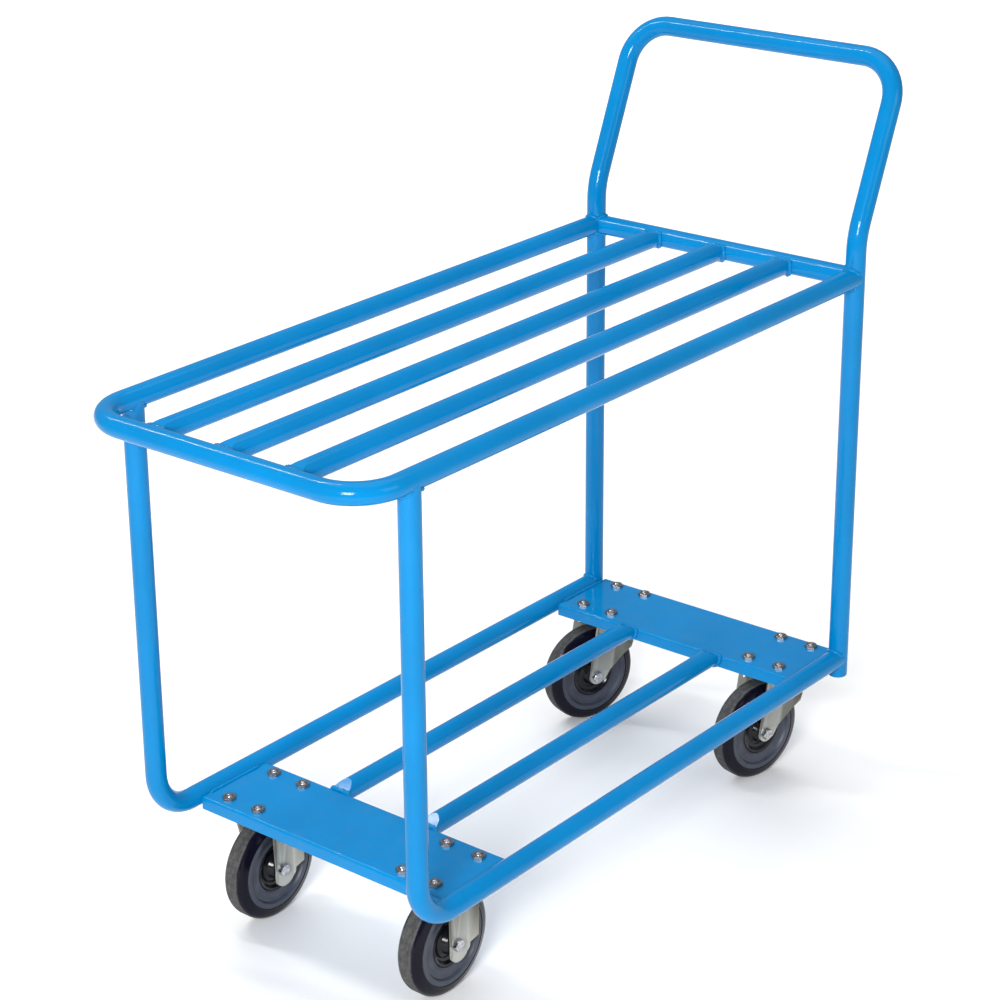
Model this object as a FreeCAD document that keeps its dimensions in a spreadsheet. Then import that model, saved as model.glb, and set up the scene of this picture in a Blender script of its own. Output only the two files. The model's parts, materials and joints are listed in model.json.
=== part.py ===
import FreeCAD, Part
import math
import os
import Sketcher

os.makedirs("parts", exist_ok=True)
doc = FreeCAD.newDocument("platform_cart")

# Frame of the cart: +X towards the curved front end, +Y to the left of someone pushing,
# +Z up, origin on the floor below the middle of the overall length and width. All in mm.
sizes = {
    "frameLength": 875.0,        # upright axis to the axis of the front deck tube
    "frameWidth": 378.0,         # between the axes of the two side tubes
    "deckHeight": 645.0,         # floor to the axis of the deck tubes
    "shelfClearance": 25.0,      # axis of the lower tubes above the wheel tops
    "tubeDiameter": 24.0,
    "tubeWall": 1.6,
    "copeGap": 0.1,              # between a coped tube end and the tube it is welded to
    "deckCornerRadius": 53.0,    # centreline
    "legSetback": 69.0,          # front legs behind the front deck tube
    "legBendRadius": 50.0,
    "lowerSlatSpacing": 128.0,
    "pressRun": 27.0,            # a deck slat's pressed end starts this far from the joint
    "pressAngle": 15.5,          # degrees its top slopes down
    "lowerPressRun": 16.0,       # the same for the lower slats, from the channel
    "lowerPressAngle": 29.0,
    "uprightFoot": 23.5,         # upright bottom below the lower tubes' axis
    "kinkHeight": 49.0,          # bend of the handle above the deck tubes' axis
    "handleLean": 23.3,          # degrees from upright
    "handleRise": 193.0,         # kink up to the axis of the crossbar
    "kinkRadius": 90.0,
    "handleCornerRadius": 50.0,
    "channelLength": 106.0,      # caster channel, along X
    "channelSheet": 3.0,
    "channelDepth": 15.0,
    "channelBend": 4.0,          # outside radius
    "channelTop": 3.0,           # channel top above the lower tubes' axis
    "channelSideGap": 0.2,
    "frontCasterSetback": 178.0,  # front casters behind the front deck tube
    "rearCasterX": 38.0,         # kingpins ahead of the uprights
    "rearChannelX": 41.0,        # middle of the rear channel ahead of the uprights
    "casterInset": 61.0,         # caster centres inside the axes of the side tubes
    "boltSpacingX": 73.0,
    "boltSpacingY": 44.5,
    "boltDiameter": 9.0,
    "boltHoleDiameter": 9.6,
    "nutFlats": 14.3,
    "nutThickness": 3.6,
    "tipRise": 2.2,              # rounded bolt end above its nut
    "headThickness": 5.5,
    "basePlateLength": 88.0,
    "basePlateWidth": 66.0,
    "basePlateSheet": 3.0,
    "wheelDiameter": 127.0,
    "wheelWidth": 30.0,
    "tyreDepth": 13.8,           # from the tread down to the core
    "hubDiameter": 59.5,
    "axleDiameter": 9.5,
    "axleClearance": 0.05,       # radial, wheel on axle
    "axleHeadFlats": 12.7,
    "forkGap": 2.2,              # between the wheel and each leg of a fork
    "forkSheet": 2.5,
    "forkLegTop": 110.0,         # sheet above and below the axle, before its outline trims it
    "forkLegBottom": 30.0,
    "rigidFront": 8.3,           # flat panel of a leg, ahead of its axle and behind it
    "rigidRear": 19.3,
    "swivelFront": 9.0,
    "swivelRear": 22.0,
    "wingAngle": 38.0,           # degrees the margins of a leg flare outwards from the panel
    "wingLength": 11.8,          # flared margins of the rigid fork beside its axle
    "swivelFrontAngle": 48.0,    # flare of the swivelling fork's front margins
    "swivelFrontWing": 10.5,
    "swivelRearWing": 32.0,
    "swivelLean": 9.8,           # degrees its legs lean back towards the kingpin
    "casterLead": 41.0,          # kingpin axis to the axle of a swivelling caster
    "leftTrail": -12.0,          # degrees the rear casters stand turned about their kingpins
    "rightTrail": -18.5,
    "crownDiameter": 76.0,
    "kingpinDiameter": 12.0,
    "raceDepth": 10.5,
    "crownSheet": 4.0,
    "crownGap": 0.4,             # between the fixed race and the turning crown
    "kingpinGap": 0.06,          # radial
    "pinHeadHeight": 3.0,
    "windowWidth": 3.4,          # opening through the front margins of a swivelling fork
    "windowHeight": 5.0,
    "windowDrop": 13.5,          # its bottom below the top of the crown
    "rigidFootDrop": 8.5,        # centre of a rigid leg's round foot below its axle
    "plateCornerRadius": 8.0,
    "plateGap": 0.1,             # base plate below the underside of its channel
    "seatGap": 0.05,             # between a head or a nut and what it clamps
    "boltFit": 0.05,             # radial, shank in its nut or in a fork leg
    "axleHeadHeight": 6.0,
    "axleNutHeight": 7.0,
    "axleTip": 2.5,              # end of the axle past its nut
    "footClosure": 3.0,          # solid bottom end of each upright
    "footRounding": 2.0,
}

dims = doc.addObject("Spreadsheet::Sheet", "Dims")
for row, (alias, number) in enumerate(sizes.items(), start=1):
    cell = "B%d" % row
    dims.set("A%d" % row, alias)
    dims.set(cell, str(number))
    dims.setAlias(cell, alias)
doc.recompute()

# Expressions used in more than one place.
radius = "Dims.tubeDiameter / 2"
boreRadius = "(Dims.tubeDiameter / 2 - Dims.tubeWall)"
copeRadius = "(Dims.tubeDiameter / 2 + Dims.copeGap)"
halfWidth = "Dims.frameWidth / 2"
handleReach = "Dims.handleRise * tan(Dims.handleLean * 1 deg)"
uprightX = "((%s - Dims.frameLength) / 2)" % handleReach
frontX = "(%s + Dims.frameLength)" % uprightX
legReach = "(Dims.frameLength - Dims.legSetback)"
legX = "(%s + %s)" % (uprightX, legReach)
frontCasterX = "(%s - Dims.frontCasterSetback)" % frontX
rearCasterX = "(%s + Dims.rearCasterX)" % uprightX
rearChannelX = "(%s + Dims.rearChannelX)" % uprightX
slatPitch = "Dims.frameWidth / 4"
casterSpread = "(Dims.frameWidth - 2 * Dims.casterInset)"
shelfZ = "(Dims.wheelDiameter + Dims.shelfClearance)"
channelTopZ = "(%s + Dims.channelTop)" % shelfZ
channelUnderZ = "(%s - Dims.channelSheet)" % channelTopZ
baseUnderZ = "(%s - Dims.basePlateSheet)" % channelUnderZ
axleZ = "Dims.wheelDiameter / 2"
forkHalf = "(Dims.wheelWidth / 2 + Dims.forkGap)"
forkOutside = "(%s + Dims.forkSheet)" % forkHalf


def value(expression):
    result = dims.evalExpression(expression.replace("Dims.", ""))
    return float(getattr(result, "Value", result))


def bind(thing, **expressions):
    for name, expression in expressions.items():
        thing.setExpression(name.replace("_", "."), expression)
    return thing


def place(thing, x="0", y="0", z="0"):
    return bind(thing, Placement_Base_x=x, Placement_Base_y=y, Placement_Base_z=z)


def turn(thing, axis, expression):
    thing.Placement = FreeCAD.Placement(FreeCAD.Vector(), FreeCAD.Rotation(axis, 1.0))
    return bind(thing, Placement_Rotation_Angle=expression)


alongX = FreeCAD.Vector(0, 1, 0)      # turning a cylinder 90 degrees about this lays it along +X
alongY = FreeCAD.Vector(-1, 0, 0)     # and about this along +Y
upwards = FreeCAD.Vector(0, 0, 1)
acrossCart = FreeCAD.Vector(0, 1, 0)


def cylinder(name, radiusText, lengthText, lie, x, y, z):
    thing = doc.addObject("Part::Cylinder", name)
    if lie is not None:
        thing.Placement = FreeCAD.Placement(FreeCAD.Vector(), FreeCAD.Rotation(lie, 90))
    bind(thing, Radius=radiusText, Height=lengthText)
    return place(thing, x, y, z)


def box(name, length, width, height, x, y, z):
    thing = doc.addObject("Part::Box", name)
    bind(thing, Length=length, Width=width, Height=height)
    return place(thing, x, y, z)


def cut(name, base, tool):
    thing = doc.addObject("Part::Cut", name)
    thing.Base = base
    thing.Tool = tool
    return thing


def fuse(name, shapes):
    thing = doc.addObject("Part::MultiFuse", name)
    thing.Shapes = shapes
    return thing


def common(name, first, second):
    thing = doc.addObject("Part::Common", name)
    thing.Base = first
    thing.Tool = second
    return thing


def compound(name, links):
    thing = doc.addObject("Part::Compound", name)
    thing.Links = links
    return thing


def plane(body, role):
    for feature in body.Origin.OriginFeatures:
        if feature.Role == role:
            return feature
    return None


def sketch(body, name, role):
    thing = body.newObject("Sketcher::SketchObject", name)
    thing.AttachmentSupport = [(plane(body, role), "")]
    thing.MapMode = "FlatFace"
    return thing


def hold(drawing, geometry, point, xText, yText):
    # Ties one point of a sketch to expressions measured from the sketch origin.
    for kind, text in (("DistanceX", xText), ("DistanceY", yText)):
        index = drawing.addConstraint(
            Sketcher.Constraint(kind, -1, 1, geometry, point, value(text)))
        drawing.setExpression("Constraints[%d]" % index, text)


def outline(drawing, corners):
    # A closed polygon through corners given as pairs of expressions.
    spots = [FreeCAD.Vector(value(x), value(y), 0) for x, y in corners]
    first = len(drawing.Geometry)
    count = len(spots)
    for i in range(count):
        drawing.addGeometry(Part.LineSegment(spots[i], spots[(i + 1) % count]), False)
    for i in range(count):
        following = first + (i + 1) % count
        drawing.addConstraint(Sketcher.Constraint("Coincident", first + i, 2, following, 1))
        hold(drawing, first + i, 1, corners[i][0], corners[i][1])


def ring(drawing, xText, yText, radiusText):
    centre = FreeCAD.Vector(value(xText), value(yText), 0)
    index = drawing.addGeometry(Part.Circle(centre, upwards, value(radiusText)), False)
    hold(drawing, index, 3, xText, yText)
    constraint = drawing.addConstraint(Sketcher.Constraint("Radius", index, value(radiusText)))
    drawing.setExpression("Constraints[%d]" % constraint, radiusText)


def roundCorner(before, corner, after, bend):
    # Start, middle and end of the arc that rounds one corner of a path.
    toBefore = (before - corner).normalize()
    toAfter = (after - corner).normalize()
    half = toBefore.getAngle(toAfter) / 2
    setBack = bend / math.tan(half)
    inward = (toBefore + toAfter).normalize()
    middle = corner + inward * (bend / math.sin(half) - bend)
    return corner + toBefore * setBack, middle, corner + toAfter * setBack


def roundedPath(drawing, corners, radiusText):
    # An open path through corners given as pairs of expressions, every inner corner rounded.
    spots = [FreeCAD.Vector(value(x), value(y), 0) for x, y in corners]
    bend = value(radiusText)
    starts = [spots[0]]
    ends = []
    arcs = []
    for before, corner, after in zip(spots, spots[1:], spots[2:]):
        arcStart, middle, arcEnd = roundCorner(before, corner, after, bend)
        ends.append(arcStart)
        starts.append(arcEnd)
        arcs.append(Part.Arc(arcStart, middle, arcEnd))
    ends.append(spots[-1])
    lines = []
    bends = []
    for i, (start, end) in enumerate(zip(starts, ends)):
        lines.append(drawing.addGeometry(Part.LineSegment(start, end), False))
        if i < len(arcs):
            bends.append(drawing.addGeometry(arcs[i], False))
    for i, curve in enumerate(bends):
        opening = drawing.getPoint(curve, 1).distanceToPoint(ends[i]) < 0.001
        near, far = (1, 2) if opening else (2, 1)
        drawing.addConstraint(Sketcher.Constraint("Tangent", lines[i], 2, curve, near))
        drawing.addConstraint(Sketcher.Constraint("Tangent", curve, far, lines[i + 1], 1))
        index = drawing.addConstraint(Sketcher.Constraint("Radius", curve, bend))
        drawing.setExpression("Constraints[%d]" % index, radiusText)
    hold(drawing, lines[0], 1, corners[0][0], corners[0][1])
    hold(drawing, lines[-1], 2, corners[-1][0], corners[-1][1])
    for i, line in enumerate(lines):
        level = abs(starts[i].y - ends[i].y) < abs(starts[i].x - ends[i].x)
        drawing.addConstraint(Sketcher.Constraint("Horizontal" if level else "Vertical", line))
    for i in range(1, len(lines) - 1):
        level = abs(starts[i].y - ends[i].y) < abs(starts[i].x - ends[i].x)
        kind, text = ("DistanceY", corners[i][1]) if level else ("DistanceX", corners[i][0])
        index = drawing.addConstraint(
            Sketcher.Constraint(kind, -1, 1, lines[i], 1, value(text)))
        drawing.setExpression("Constraints[%d]" % index, text)


def bentTube(name, pathRole, corners, bendText, profileRole, profileX, profileY):
    # A hollow tube along a flat path, as a body with its own origin.
    body = doc.addObject("PartDesign::Body", name)
    path = sketch(body, name + "Path", pathRole)
    roundedPath(path, corners, bendText)
    profile = sketch(body, name + "Section", profileRole)
    ring(profile, profileX, profileY, radius)
    ring(profile, profileX, profileY, boreRadius)
    doc.recompute()
    pipe = body.newObject("PartDesign::AdditivePipe", name + "Pipe")
    pipe.Profile = profile
    pipe.Spine = (path, ["Edge%d" % (i + 1) for i in range(len(path.Geometry))])
    body.Tip = pipe
    return body


def straightTube(name, lie, lengthText, x, y, z):
    outside = cylinder(name + "Outside", radius, lengthText, lie, x, y, z)
    bore = cylinder(name + "Bore", boreRadius, lengthText, lie, x, y, z)
    return cut(name + "Tube", outside, bore)


def pressedTube(name, boreInset, run, angle, lengthText, x, y, z):
    # A tube along +X whose top is pressed down to a slope at both ends.
    outside = cylinder(name + "Outside", radius, lengthText, alongX, x, y, z)
    bore = cylinder(name + "Bore", boreRadius, "%s - 2 * %s" % (lengthText, boreInset), alongX,
                    "%s + %s" % (x, boreInset), y, z)
    reach = "(%s + Dims.tubeDiameter)" % run
    slope = "(%s / cos(%s * 1 deg))" % (reach, angle)
    pressed = []
    for part, cover in ((outside, "0"), (bore, "Dims.tubeWall")):
        topZ = "%s + %s - %s" % (z, radius, cover)
        edgeY = "%s - Dims.tubeDiameter" % y
        front = box(part.Name + "PressFront", slope, "Dims.tubeDiameter * 2",
                    "Dims.tubeDiameter", "0", "0", "0")
        turn(front, acrossCart, angle)
        place(front, "%s + %s - %s" % (x, lengthText, run), edgeY, topZ)
        rear = box(part.Name + "PressRear", slope, "Dims.tubeDiameter * 2",
                   "Dims.tubeDiameter", "0", "0", "0")
        turn(rear, acrossCart, "-" + angle)
        place(rear, "%s + %s - %s" % (x, run, reach), edgeY,
              "%s - %s * tan(%s * 1 deg)" % (topZ, reach, angle))
        pressed.append(cut(part.Name + "Pressed", part, fuse(part.Name + "Press",
                                                             [front, rear])))
    return cut(name + "Tube", pressed[0], pressed[1])


def sideSign(side):
    return "1" if side == "left" else "-1"


def sideY(side):
    return "(%s * %s)" % (sideSign(side), halfWidth)


parts = {}


def finish(node, thing):
    thing.Label = node
    parts[node] = thing


def uprightTool(name, side):
    return cylinder(name, copeRadius, "Dims.deckHeight", None, uprightX, sideY(side), "0")


# Deck: one hoop with rounded front corners, its two rear ends coped to the uprights.
hoop = bentTube(
    "Hoop", "XY_Plane",
    [("0", halfWidth), ("Dims.frameLength", halfWidth),
     ("Dims.frameLength", "-" + halfWidth), ("0", "-" + halfWidth)],
    "Dims.deckCornerRadius", "YZ_Plane", halfWidth, "0")
place(hoop, uprightX, "0", "Dims.deckHeight")
hoopTools = []
for side in ("left", "right"):
    tool = cylinder("HoopCope_" + side, copeRadius, "Dims.tubeDiameter * 2", None,
                    uprightX, sideY(side), "Dims.deckHeight - Dims.tubeDiameter")
    hoopTools.append(tool)
finish("deck_hoop", cut("DeckHoop", hoop, fuse("HoopCopes", hoopTools)))

# Rear deck crossbar between the uprights.
crossbar = straightTube("Crossbar", alongY, "Dims.frameWidth",
                        uprightX, "-" + halfWidth, "Dims.deckHeight")
crossTools = []
for side in ("left", "right"):
    crossTools.append(uprightTool("CrossbarCope_" + side, side))
    bind(crossTools[-1], Height="Dims.deckHeight + Dims.tubeDiameter")
    crossTools.append(cylinder("CrossbarHoopCope_" + side, copeRadius, "Dims.tubeDiameter * 2",
                               alongX, uprightX, sideY(side), "Dims.deckHeight"))
finish("deck_rear_crossbar", cut("DeckCrossbar", crossbar, fuse("CrossbarCopes", crossTools)))

# Three deck slats coped between the rear crossbar and the front of the hoop.
for name, offset in (("left", slatPitch), ("center", "0"), ("right", "-" + slatPitch)):
    tube = pressedTube("Slat_" + name, "0", "Dims.pressRun", "Dims.pressAngle",
                       "Dims.frameLength", uprightX, offset, "Dims.deckHeight")
    ends = []
    for end, x in (("Rear", uprightX), ("Front", frontX)):
        ends.append(cylinder("Slat%s_%s" % (end, name), copeRadius, "Dims.tubeDiameter * 2",
                             alongY, x, offset + " - Dims.tubeDiameter", "Dims.deckHeight"))
    finish("deck_slat_" + name, cut("DeckSlat_" + name, tube, fuse("SlatCopes_" + name, ends)))

# Legs: each runs down from the underside of the hoop, bends and becomes the lower side tube,
# whose rear end is coped to the upright.
for side in ("left", "right"):
    leg = bentTube(
        "Leg_" + side, "XZ_Plane",
        [("0", "0"), (legReach, "0"), (legReach, "Dims.deckHeight - " + shelfZ)],
        "Dims.legBendRadius", "YZ_Plane", "0", "0")
    place(leg, uprightX, sideY(side), shelfZ)
    tools = [
        uprightTool("LegRearCope_" + side, side),
        cylinder("LegTopCope_" + side, copeRadius, "Dims.tubeDiameter * 2", alongX,
                 legX + " - Dims.tubeDiameter", sideY(side), "Dims.deckHeight"),
    ]
    finish("lower_rail_" + side, cut("LowerRail_" + side, leg, fuse("LegCopes_" + side, tools)))


# Handle: both uprights, the kinks, the rounded top corners and the crossbar are one tube.
def bentWire(spots, bends):
    edges = []
    start = spots[0]
    for before, corner, after, bend in zip(spots, spots[1:], spots[2:], bends):
        arcStart, middle, arcEnd = roundCorner(before, corner, after, bend)
        edges.append(Part.makeLine(start, arcStart))
        edges.append(Part.Arc(arcStart, middle, arcEnd).toShape())
        start = arcEnd
    edges.append(Part.makeLine(start, spots[-1]))
    return Part.Wire(edges)


def pipeAlong(wire, pipeRadius):
    start = wire.OrderedVertexes[0].Point
    profile = Part.Wire(Part.makeCircle(pipeRadius, start, upwards))
    return wire.makePipeShell([profile], True, False)


handleFoot = value(shelfZ + " - Dims.uprightFoot")
kinkZ = value("Dims.deckHeight + Dims.kinkHeight")
barX = value("0 - " + handleReach)
barZ = kinkZ + value("Dims.handleRise")
halfSpan = value(halfWidth)
footClosure = value("Dims.footClosure")
handleSpots = [
    FreeCAD.Vector(0, halfSpan, handleFoot), FreeCAD.Vector(0, halfSpan, kinkZ),
    FreeCAD.Vector(barX, halfSpan, barZ), FreeCAD.Vector(barX, -halfSpan, barZ),
    FreeCAD.Vector(0, -halfSpan, kinkZ), FreeCAD.Vector(0, -halfSpan, handleFoot)]
kinkBend = value("Dims.kinkRadius")
cornerBend = value("Dims.handleCornerRadius")
handleBends = [kinkBend, cornerBend, cornerBend, kinkBend]
handleOuter = pipeAlong(bentWire(handleSpots, handleBends), value(radius))
feet = [edge for edge in handleOuter.Edges if edge.BoundBox.ZMax < handleFoot + 0.01]
handleOuter = handleOuter.makeFillet(value("Dims.footRounding"), feet)
boreSpots = list(handleSpots)
boreSpots[0] = handleSpots[0] + FreeCAD.Vector(0, 0, footClosure)
boreSpots[-1] = handleSpots[-1] + FreeCAD.Vector(0, 0, footClosure)
handle = doc.addObject("Part::Feature", "Handle")
handle.Shape = handleOuter.cut(pipeAlong(bentWire(boreSpots, handleBends), value(boreRadius)))
handle.Placement = FreeCAD.Placement(FreeCAD.Vector(value(uprightX), 0, 0), FreeCAD.Rotation())
finish("handle_tube", handle)

# Caster channels: folded sheets across the cart, their two long edges turned down.
patternSpots = [(a, b) for a in ("1", "-1") for b in ("1", "-1")]


def longEdges(shape, x, z):
    # Names of the straight edges that run across the cart at this height, x either side.
    names = []
    for i, edge in enumerate(shape.Edges, start=1):
        bounds = edge.BoundBox
        straight = bounds.XLength < 0.01 and bounds.ZLength < 0.01
        if straight and abs(abs(bounds.XMax) - x) < 0.01 and abs(bounds.ZMax - z) < 0.01:
            names.append("Edge%d" % i)
    return names


def channel(name, centreX, casterX):
    body = doc.addObject("PartDesign::Body", name)
    profile = sketch(body, name + "Profile", "XZ_Plane")
    half = "Dims.channelLength / 2"
    inner = "(Dims.channelLength / 2 - Dims.channelSheet)"
    outline(profile, [
        ("-" + half, "-Dims.channelDepth"), ("-" + half, "0"),
        (half, "0"), (half, "-Dims.channelDepth"),
        (inner, "-Dims.channelDepth"), (inner, "-Dims.channelSheet"),
        ("-" + inner, "-Dims.channelSheet"), ("-" + inner, "-Dims.channelDepth")])
    doc.recompute()
    pad = body.newObject("PartDesign::Pad", name + "Pad")
    pad.Profile = profile
    pad.Midplane = True
    widthText = "Dims.frameWidth - Dims.tubeDiameter - 2 * Dims.channelSideGap"
    pad.setExpression("Length", widthText)
    doc.recompute()
    bendOut = body.newObject("PartDesign::Fillet", name + "BendOutside")
    bendOut.Base = (pad, longEdges(pad.Shape, value(half), 0))
    bendOut.setExpression("Radius", "Dims.channelBend")
    doc.recompute()
    inside = longEdges(bendOut.Shape, value(inner), -value("Dims.channelSheet"))
    bendIn = body.newObject("PartDesign::Fillet", name + "BendInside")
    bendIn.Base = (bendOut, inside)
    bendIn.setExpression("Radius", "Dims.channelBend - Dims.channelSheet")
    doc.recompute()
    holes = sketch(body, name + "Holes", "XY_Plane")
    for side in ("left", "right"):
        for a, b in patternSpots:
            ring(holes, "(%s - %s) + %s * Dims.boltSpacingX / 2" % (casterX, centreX, a),
                 "%s * %s / 2 + %s * Dims.boltSpacingY / 2" % (sideSign(side), casterSpread, b),
                 "Dims.boltHoleDiameter / 2")
    doc.recompute()
    pocket = body.newObject("PartDesign::Pocket", name + "Drilling")
    pocket.Profile = holes
    pocket.Type = "ThroughAll"
    pocket.Midplane = True
    body.Tip = pocket
    return place(body, centreX, "0", channelTopZ)


finish("front_caster_channel", channel("FrontChannel", frontCasterX, frontCasterX))
finish("rear_caster_channel", channel("RearChannel", rearChannelX, rearCasterX))

# Lower slats: closed tubes butted between the turned-down edges of the two channels.
for side in ("left", "right"):
    y = "%s * Dims.lowerSlatSpacing / 2" % sideSign(side)
    startX = "%s + Dims.channelLength / 2 + Dims.copeGap" % rearChannelX
    lengthText = "((%s - %s) - Dims.channelLength - 2 * Dims.copeGap)" % (
        frontCasterX, rearChannelX)
    finish("lower_slat_" + side,
           pressedTube("LowerSlat_" + side, "Dims.tubeWall", "Dims.lowerPressRun",
                       "Dims.lowerPressAngle", lengthText, startX, y, shelfZ))


# Fasteners of one caster: four bolts from below with hexagon heads, four hexagon nuts above,
# every bolt ending in a dome that stands out of its nut.
def prism(name, flats, height, x, y, z):
    thing = doc.addObject("Part::Prism", name)
    thing.Polygon = 6
    bind(thing, Circumradius="%s / 2 / cos(30 deg)" % flats, Height=height)
    return place(thing, x, y, z)


def fasteners(node, centreX, centreY):
    bolts = []
    nuts = []
    for index, (a, b) in enumerate(patternSpots):
        tag = "%s_%d" % (node, index)
        x = "%s + %s * Dims.boltSpacingX / 2" % (centreX, a)
        y = "%s + %s * Dims.boltSpacingY / 2" % (centreY, b)
        head = prism("Head_" + tag, "Dims.nutFlats", "Dims.headThickness",
                     x, y, baseUnderZ + " - Dims.headThickness - Dims.seatGap")
        shankBottom = baseUnderZ + " - Dims.headThickness / 2"
        shankTop = channelTopZ + " + Dims.nutThickness + Dims.tipRise - Dims.boltDiameter / 2"
        shank = cylinder("Shank_" + tag, "Dims.boltDiameter / 2",
                         "(%s) - (%s)" % (shankTop, shankBottom), None, x, y, shankBottom)
        tip = doc.addObject("Part::Sphere", "Tip_" + tag)
        bind(tip, Radius="Dims.boltDiameter / 2")
        place(tip, x, y, shankTop)
        bolts.append(fuse("Bolt_" + tag, [head, shank, tip]))
        block = prism("NutBlock_" + tag, "Dims.nutFlats", "Dims.nutThickness",
                      x, y, channelTopZ + " + Dims.seatGap")
        rounding = doc.addObject("Part::Cone", "NutRounding_" + tag)
        bind(rounding, Radius1="Dims.nutFlats / 2 + Dims.nutThickness",
             Radius2="Dims.nutFlats / 2 - 0.2", Height="Dims.nutThickness + Dims.seatGap")
        place(rounding, x, y, channelTopZ)
        hole = cylinder("NutHole_" + tag, "Dims.boltDiameter / 2 + Dims.boltFit",
                        "Dims.nutThickness * 2", None, x, y, channelTopZ + " - 1")
        nuts.append(cut("Nut_" + tag, common("NutBody_" + tag, block, rounding), hole))
    finish(node + "_mount_bolts", compound("Bolts_" + node, bolts))
    finish(node + "_mount_nuts", compound("Nuts_" + node, nuts))


casters = []
for end, centreX in (("front", frontCasterX), ("rear", rearCasterX)):
    for side in ("left", "right"):
        centreY = "%s * %s / 2" % (sideSign(side), casterSpread)
        casters.append((end, side, centreX, centreY))
for end, side, centreX, centreY in casters:
    fasteners("%s_%s" % (end, side), centreX, centreY)


def drillPattern(name, x, y):
    holes = []
    for index, (a, b) in enumerate(patternSpots):
        holes.append(cylinder(
            "%s_%d" % (name, index), "Dims.boltHoleDiameter / 2", "Dims.basePlateSheet * 3", None,
            "%s + %s * Dims.boltSpacingX / 2" % (x, a), "%s + %s * Dims.boltSpacingY / 2" % (y, b),
            baseUnderZ + " - Dims.basePlateSheet"))
    return fuse(name, holes)


def basePlate(name, x, y):
    plate = box(name, "Dims.basePlateLength", "Dims.basePlateWidth",
                "Dims.basePlateSheet - Dims.plateGap",
                x + " - Dims.basePlateLength / 2", y + " - Dims.basePlateWidth / 2", baseUnderZ)
    rounded = doc.addObject("Part::Fillet", name + "Corners")
    doc.recompute()
    rounded.Base = plate
    corner = value("Dims.plateCornerRadius")
    rounded.Edges = [(i, corner, corner) for i, edge in enumerate(plate.Shape.Edges, start=1)
                     if edge.BoundBox.ZLength > 1]
    return rounded


# The two legs of a fork about its axle: a flat panel beside the wheel, between a front and a
# rear margin that flare outwards. The whole leans by an angle, and an outline trims it later.
# A fold is (panel edge from the axle, wing length, angle of the wing from the panel).
legTall = "Dims.forkLegTop + Dims.forkLegBottom"


def legSheets(name, frontFold, rearFold, x, lean):
    pieces = []
    for side in ("left", "right"):
        sign = sideSign(side)
        outwards = side == "left"
        low = forkHalf if outwards else "-" + forkOutside
        pieces.append(box("%sPanel_%s" % (name, side), "%s + %s" % (frontFold[0], rearFold[0]),
                          "Dims.forkSheet", legTall, "-" + rearFold[0], low,
                          "-Dims.forkLegBottom"))
        for end, fold in (("Front", frontFold), ("Rear", rearFold)):
            forwards = end == "Front"
            edge, length, flare = fold
            foldX = edge if forwards else "-" + edge
            tilt = "(%s %s %s)" % ("0" if forwards else "180",
                                   "+" if forwards == outwards else "-", flare)
            sheet = box("%s%sWing_%s" % (name, end, side), length, "Dims.forkSheet", legTall,
                        "0", "0", "0")
            turn(sheet, upwards, tilt)
            # A box lies on the left of its own length, so two of the four start one sheet
            # thickness aside to put the fold on the wheel's side of the panel.
            aside = "0" if forwards == outwards else "Dims.forkSheet"
            place(sheet, "%s + %s * sin(%s * 1 deg)" % (foldX, aside, tilt),
                  "%s * %s - %s * cos(%s * 1 deg)" % (sign, forkHalf, aside, tilt),
                  "-Dims.forkLegBottom")
            pieces.append(sheet)
    leaning = compound(name + "Leaning", [fuse(name + "Sheets", pieces)])
    turn(leaning, acrossCart, lean)
    return place(leaning, x, "0", axleZ)


def sideOutline(name, corners, roundX, roundZ, roundRadius):
    # What remains of the sheets seen from the side: a polygon and a round foot.
    body = doc.addObject("PartDesign::Body", name)
    drawing = sketch(body, name + "Drawing", "XZ_Plane")
    outline(drawing, corners)
    doc.recompute()
    pad = body.newObject("PartDesign::Pad", name + "Pad")
    pad.Profile = drawing
    pad.Midplane = True
    pad.setExpression("Length", "Dims.basePlateLength * 2")
    body.Tip = pad
    foot = cylinder(name + "Foot", roundRadius, "Dims.basePlateLength * 2", alongY,
                    roundX, "-Dims.basePlateLength", roundZ)
    return fuse(name + "All", [body, foot])


def settle(name, thing, x, y, angle):
    # Stands a finished caster piece at its caster, turned about the caster's upright axis.
    moved = compound(name, [thing])
    turn(moved, upwards, angle)
    return place(moved, x, y, "0")


def axleHoleTool(name, x):
    return cylinder(name, "Dims.axleDiameter / 2 + Dims.boltFit", "Dims.basePlateLength", alongY,
                    x, "-Dims.basePlateLength / 2", axleZ)


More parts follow.
